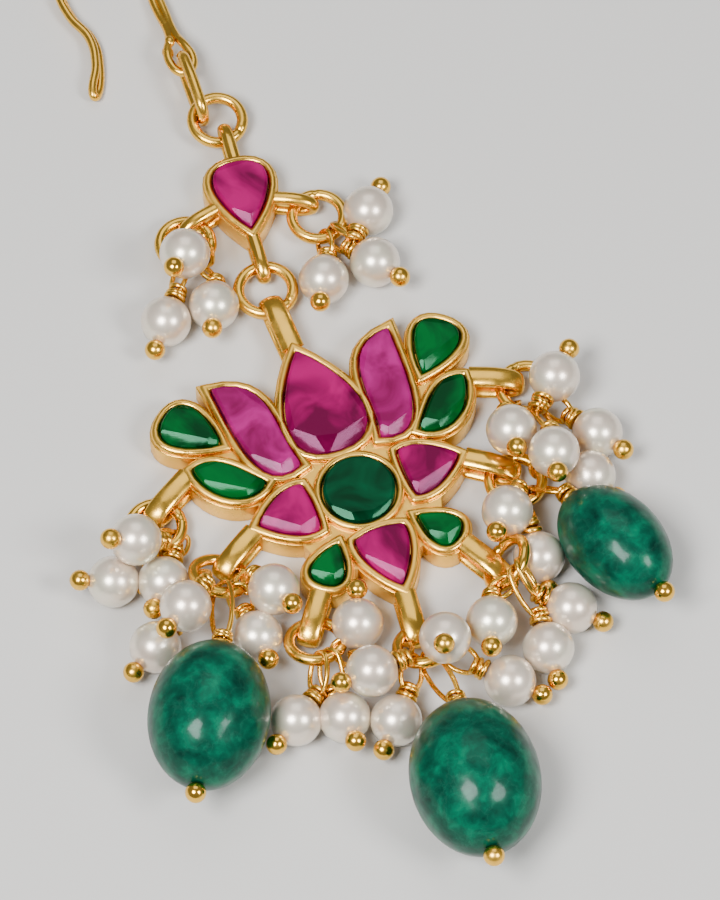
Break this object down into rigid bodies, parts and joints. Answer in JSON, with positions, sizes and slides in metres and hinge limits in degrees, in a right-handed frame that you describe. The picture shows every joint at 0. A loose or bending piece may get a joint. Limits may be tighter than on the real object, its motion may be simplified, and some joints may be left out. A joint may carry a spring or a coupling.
{
  "type": "maang tikka",
  "caption": "Maang tikka with a lotus of bezel-set petal stones, a teardrop stone above it, a wire hook and hanging drops of pearl and oval emerald-green beads.",
  "frame": {"origin": "on the lotus's flat back, under the middle of its round centre stone", "axes": "+Y from the lotus up to the hook, +Z out of the table towards the stones' faces, +X to the right as seen from the front"},
  "size_m": [0.0448, 0.0923, 0.0099],
  "materials": {
    "gold": "polished yellow gold",
    "ruby": "polished magenta red, slightly translucent",
    "pink_stone": "polished purplish pink, slightly translucent",
    "green_stone": "polished green, slightly translucent",
    "deep_green_stone": "polished dark green",
    "pearl": "satin lustre, creamy white",
    "emerald_bead": "polished, mottled green"
  },
  "bodies": {
    "root": {"lotus_setting": "gold", "teardrop_setting": "gold", "middle_ring": "gold", "upper_ring": "gold", "oval_link": "gold", "hook": "gold", "ruby_centre": "ruby", "ruby_side_right": "ruby", "ruby_side_left": "ruby", "ruby_bottom": "ruby", "ruby_teardrop": "ruby", "pink_petal_right": "pink_stone", "pink_petal_left": "pink_stone", "green_outer_right": "green_stone", "green_outer_left": "green_stone", "green_leaf_right": "green_stone", "green_leaf_left": "green_stone", "green_small_right": "green_stone", "green_small_left": "green_stone", "emerald_round": "deep_green_stone", "pearls_top_left": "pearl", "pearls_top_right": "pearl", "pearls_leaf_left": "pearl", "pearls_side_left": "pearl", "pearls_small_left": "pearl", "pearls_bottom": "pearl", "pearls_small_right": "pearl", "pearls_side_right": "pearl", "pearls_leaf_right": "pearl", "emerald_left": "emerald_bead", "emerald_bottom": "emerald_bead", "emerald_right": "emerald_bead"}
  },
  "joints": []
}
